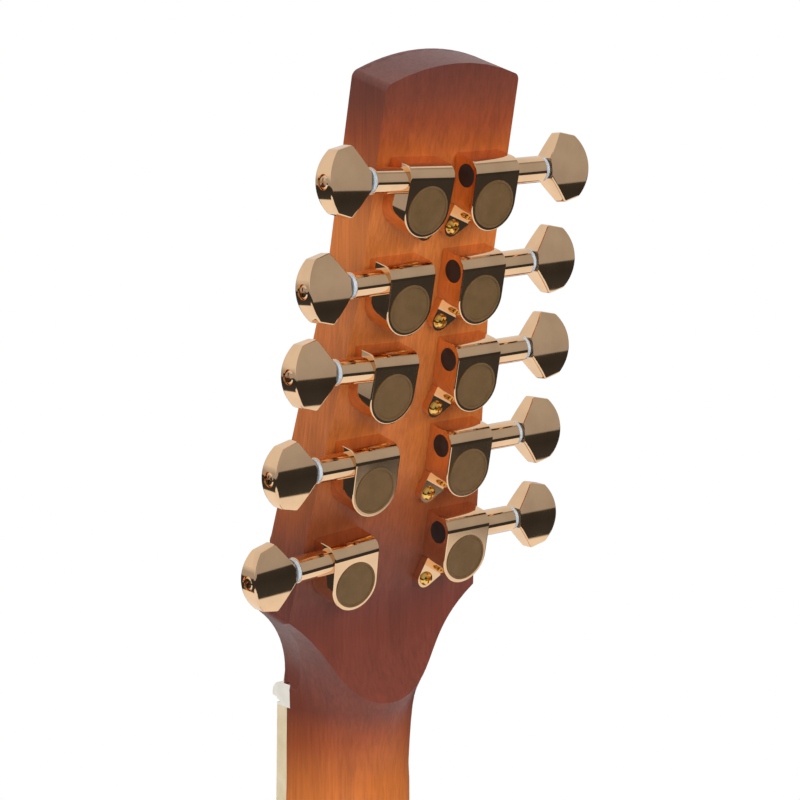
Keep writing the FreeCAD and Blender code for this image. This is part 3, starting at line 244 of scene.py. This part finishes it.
def sunburst_neck_painted_shade(name="Sunburst neck and painted volute shade", front=None):
    """Satin stain: dark at the top of the head and round the volute, amber between; the dark-to-amber
    fade just below the volute is stain plus painted shade from the volute's edge.

    With front given, a face that looks forwards has that colour instead.
    """
    mat, tree, bsdf = material(name)
    place = object_coordinates(tree)
    split = tree.nodes.new("ShaderNodeSeparateXYZ")
    tree.links.new(place, split.inputs[0])
    waver = rescale(tree, noise(tree, place, 45, 2), 0, 1, -0.004, 0.004)
    height = math_node(tree, "ADD", split.outputs["Z"], waver)
    low_z, high_z = BURST_LOW_Z, BURST_HIGH_Z

    def at(z):
        return (z - low_z) / (high_z - low_z)

    # Below z=0 the ramp fades from dark to amber: stain plus painted shade under the volute's edge.
    stain = ramp(tree, rescale(tree, height, low_z, high_z), [
        (at(-0.030), srgb(194, 108, 44)), (at(-0.018), srgb(172, 90, 34)),
        (at(-0.009), srgb(144, 66, 26)), (at(0.000), srgb(108, 46, 28)),
        (at(0.030), srgb(103, 49, 38)), (at(0.046), srgb(116, 57, 36)),
        (at(0.057), srgb(141, 69, 31)), (at(0.070), srgb(180, 98, 42)),
        (at(0.140), srgb(205, 117, 54)), (at(0.154), srgb(178, 89, 36)),
        (at(0.163), srgb(136, 60, 26)), (at(0.170), srgb(110, 51, 32)),
        (at(0.180), srgb(92, 43, 35))])
    fibre, band = wood_grain(tree, (1, 1, 0.035), 1500, 260)
    shade = ramp(tree, fibre, [(0.30, (0.80, 0.78, 0.74)), (0.62, (1.08, 1.08, 1.08))])
    broad = ramp(tree, band, [(0.35, (0.90, 0.89, 0.87)), (0.65, (1.05, 1.05, 1.05))])
    colour = mix(tree, 1.0, mix(tree, 1.0, stain, shade, "MULTIPLY"), broad, "MULTIPLY")
    if front:
        facing = tree.nodes.new("ShaderNodeTexCoord")
        normal = tree.nodes.new("ShaderNodeSeparateXYZ")
        tree.links.new(facing.outputs["Normal"], normal.inputs[0])
        forwards = rescale(tree, normal.outputs["Y"], -0.6, -0.8)
        board = ramp(tree, fibre, [(0.30, front[0]), (0.68, front[1])])
        colour = mix(tree, forwards, colour, board)
    tree.links.new(colour, bsdf.inputs["Base Color"])
    tree.links.new(rescale(tree, fibre, 0.3, 0.7, 0.50, 0.40), bsdf.inputs["Roughness"])
    bsdf.inputs["Coat Weight"].default_value = 0.08
    bsdf.inputs["Coat Roughness"].default_value = 0.35
    bump(tree, bsdf, fibre, 0.10, 0.0001)
    return mat


def burst_plate(name, middle, rim, fine, rough):
    """Body wood stained darker towards the outline of the teardrop."""
    mat, tree, bsdf = material(name)
    place = object_coordinates(tree)
    split = tree.nodes.new("ShaderNodeSeparateXYZ")
    tree.links.new(place, split.inputs[0])
    width = ramp(tree, rescale(tree, split.outputs["Z"], BODY_LOW_Z, BODY_HIGH_Z), [
        (0.0, (0.02, 0.02, 0.02)), (0.06, (0.087, 0.087, 0.087)), (0.18, (0.143, 0.143, 0.143)),
        (0.40, (0.175, 0.175, 0.175)), (0.60, (0.150, 0.150, 0.150)), (0.82, (0.095, 0.095, 0.095)),
        (1.0, (0.040, 0.040, 0.040))])
    ratio = math_node(tree, "DIVIDE", math_node(tree, "ABSOLUTE", split.outputs["X"]), width)
    stain = ramp(tree, ratio, [(0.45, middle), (0.78, tuple(0.6 * m + 0.4 * r for m, r in
                                                            zip(middle, rim))), (0.97, rim)])
    fibre, band = wood_grain(tree, (1, 1, 0.03), fine, fine * 0.12)
    shade = ramp(tree, fibre, [(0.30, (0.80, 0.78, 0.74)), (0.62, (1.08, 1.08, 1.08))])
    broad = ramp(tree, band, [(0.35, (0.88, 0.87, 0.85)), (0.65, (1.05, 1.05, 1.05))])
    colour = mix(tree, 1.0, mix(tree, 1.0, stain, shade, "MULTIPLY"), broad, "MULTIPLY")
    tree.links.new(colour, bsdf.inputs["Base Color"])
    tree.links.new(rescale(tree, fibre, 0.3, 0.7, rough + 0.06, rough - 0.04),
                   bsdf.inputs["Roughness"])
    bsdf.inputs["Coat Weight"].default_value = 0.25
    bsdf.inputs["Coat Roughness"].default_value = 0.22
    bump(tree, bsdf, fibre, 0.08, 0.0001)
    return mat


def plain_wood(name, dark, light, fine, rough, stretch=(1, 1, 0.04)):
    mat, tree, bsdf = material(name)
    fibre, band = wood_grain(tree, stretch, fine, fine * 0.15)
    streaks = mix(tree, 0.35, fibre, band)
    colour = ramp(tree, streaks, [(0.30, dark), (0.68, light)])
    tree.links.new(colour, bsdf.inputs["Base Color"])
    tree.links.new(rescale(tree, fibre, 0.3, 0.7, rough + 0.08, rough - 0.05),
                   bsdf.inputs["Roughness"])
    bump(tree, bsdf, fibre, 0.15, 0.0001)
    return mat


def plated(name, colour, low_rough, high_rough, spots=0.0):
    """Plated metal with faint polishing marks and a little clouding."""
    mat, tree, bsdf = material(name)
    place = object_coordinates(tree)
    cloud = noise(tree, place, 140, 3)
    marks = noise(tree, object_coordinates(tree, (1, 1, 6)), 900, 4, 0.6)
    dull = tuple(0.90 * c for c in colour)
    tree.links.new(ramp(tree, cloud, [(0.35, dull), (0.6, colour)]), bsdf.inputs["Base Color"])
    bsdf.inputs["Metallic"].default_value = 1.0
    tree.links.new(rescale(tree, cloud, 0.3, 0.75, low_rough, high_rough),
                   bsdf.inputs["Roughness"])
    bump(tree, bsdf, marks, 0.02 + spots, 0.00003)
    return mat


def bronze_cap():
    """Dull olive-brown face of the round covers."""
    mat, tree, bsdf = material("Cap bronze")
    place = object_coordinates(tree)
    cloud = noise(tree, place, 260, 4, 0.6)
    scratch = noise(tree, object_coordinates(tree, (1, 3, 0.3)), 1400, 3, 0.7)
    colour = ramp(tree, cloud, [(0.3, srgb(100, 75, 42)), (0.7, srgb(114, 86, 54))])
    worn = ramp(tree, scratch, [(0.60, (0, 0, 0)), (0.75, (0.25, 0.25, 0.25))])
    tree.links.new(mix(tree, worn, colour, srgb(140, 110, 74)), bsdf.inputs["Base Color"])
    bsdf.inputs["Metallic"].default_value = 0.35
    tree.links.new(rescale(tree, cloud, 0.3, 0.7, 0.42, 0.52), bsdf.inputs["Roughness"])
    bump(tree, bsdf, scratch, 0.05, 0.00003)
    return mat


def plastic(name, dark, light, rough, scale, see_through=0.0):
    mat, tree, bsdf = material(name)
    cloud = noise(tree, object_coordinates(tree), scale, 4, 0.55)
    tree.links.new(ramp(tree, cloud, [(0.3, dark), (0.7, light)]), bsdf.inputs["Base Color"])
    tree.links.new(rescale(tree, cloud, 0.3, 0.7, rough + 0.06, rough - 0.04),
                   bsdf.inputs["Roughness"])
    bsdf.inputs["Subsurface Weight"].default_value = see_through
    bsdf.inputs["Subsurface Radius"].default_value = (0.002, 0.002, 0.002)
    bump(tree, bsdf, cloud, 0.04, 0.0001)
    return mat


def wound_string():
    """Steel and bronze strings with the fine turns of their winding."""
    mat, tree, bsdf = material("Strings")
    place = object_coordinates(tree, (1, 1, 1))
    wave = tree.nodes.new("ShaderNodeTexWave")
    wave.bands_direction = "Z"
    wave.inputs["Scale"].default_value = 900
    tree.links.new(place, wave.inputs["Vector"])
    tint = ramp(tree, wave.outputs["Fac"], [(0.0, srgb(120, 105, 84)), (1.0, srgb(206, 196, 176))])
    tree.links.new(tint, bsdf.inputs["Base Color"])
    bsdf.inputs["Metallic"].default_value = 1.0
    tree.links.new(rescale(tree, noise(tree, place, 300), 0.3, 0.7, 0.22, 0.34),
                   bsdf.inputs["Roughness"])
    bump(tree, bsdf, wave.outputs["Fac"], 0.2, 0.00004)
    return mat


def make_materials():
    gold = (0.90, 0.60, 0.36)
    return {
        "neck": sunburst_neck_painted_shade(),
        "veneer": sunburst_neck_painted_shade("Head plate", (srgb(38, 25, 20), srgb(74, 48, 36))),
        "back": burst_plate("Back and ribs", srgb(184, 100, 46), srgb(92, 44, 34), 1300, 0.34),
        "top": burst_plate("Spruce top", srgb(214, 146, 76), srgb(112, 56, 36), 900, 0.36),
        "dark": plain_wood("Dark hardwood", srgb(38, 25, 20), srgb(74, 48, 36), 1400, 0.42),
        "bridge": plain_wood("Bridge wood", srgb(46, 30, 24), srgb(84, 54, 40), 1400, 0.42,
                             (0.05, 1, 1)),
        "inside": plain_wood("Bare inner wood", srgb(196, 164, 118), srgb(226, 198, 150), 800, 0.6),
        "gold": plated("Gold plating", gold, 0.035, 0.075),
        "screw": plated("Bright gold screws", (0.95, 0.60, 0.16), 0.10, 0.18),
        "cap": bronze_cap(),
        "steel": plated("Steel", (0.62, 0.62, 0.63), 0.18, 0.30, 0.05),
        "bone": plastic("Bone", srgb(222, 216, 204), srgb(240, 236, 226), 0.38, 220, 0.15),
        "binding": plastic("Cream binding", srgb(214, 196, 160), srgb(230, 214, 182), 0.34, 160, 0.1),
        "pearl": plastic("Pearl inlay", srgb(206, 206, 200), srgb(240, 240, 236), 0.22, 380, 0.1),
        "nylon": plastic("Nylon", srgb(158, 166, 172), srgb(184, 190, 196), 0.52, 300, 0.3),
        "black": plastic("Black plastic", (0.010, 0.009, 0.009), (0.022, 0.020, 0.020), 0.40, 300),
        "string": wound_string(),
    }


NODE_LOOKS = {
    "neck": "neck", "headstock_veneer": "veneer", "truss_rod": "steel", "truss_rod_cover": "black",
    "fretboard": "dark", "fretboard_binding": "binding", "frets": "steel",
    "position_dots": "pearl", "nut": "bone", "soundboard": "top", "back": "back",
    "ribs": "back", "body_binding": "binding", "linings": "inside", "head_block": "inside",
    "tail_block": "inside", "braces": "inside", "rosette": "pearl", "bridge_base": "bridge",
    "bridge_saddle": "bone", "tailpiece": "gold", "small_screws": "screw", "end_pin": "gold",
    "strings": "string", "tuner_housings": "gold", "tuner_caps": "cap", "tuner_bushings": "gold",
    "tuner_screws": "screw", "worm_plugs": "black", "nylon_washers": "nylon",
}


def dress_nodes(looks):
    for name, node in nodes.items():
        if name in NODE_LOOKS:
            look = NODE_LOOKS[name]
        elif name.startswith("worm_shaft"):
            look = "steel"
        else:
            look = "gold"
        node.data.materials.clear()
        node.data.materials.append(looks[look])
        for face in node.data.polygons:
            face.material_index = 0


bpy.context.scene.view_settings.view_transform = "Standard"
make_camera()
make_world()
make_lights()
make_floor()
looks = make_materials()
dress_nodes(looks)
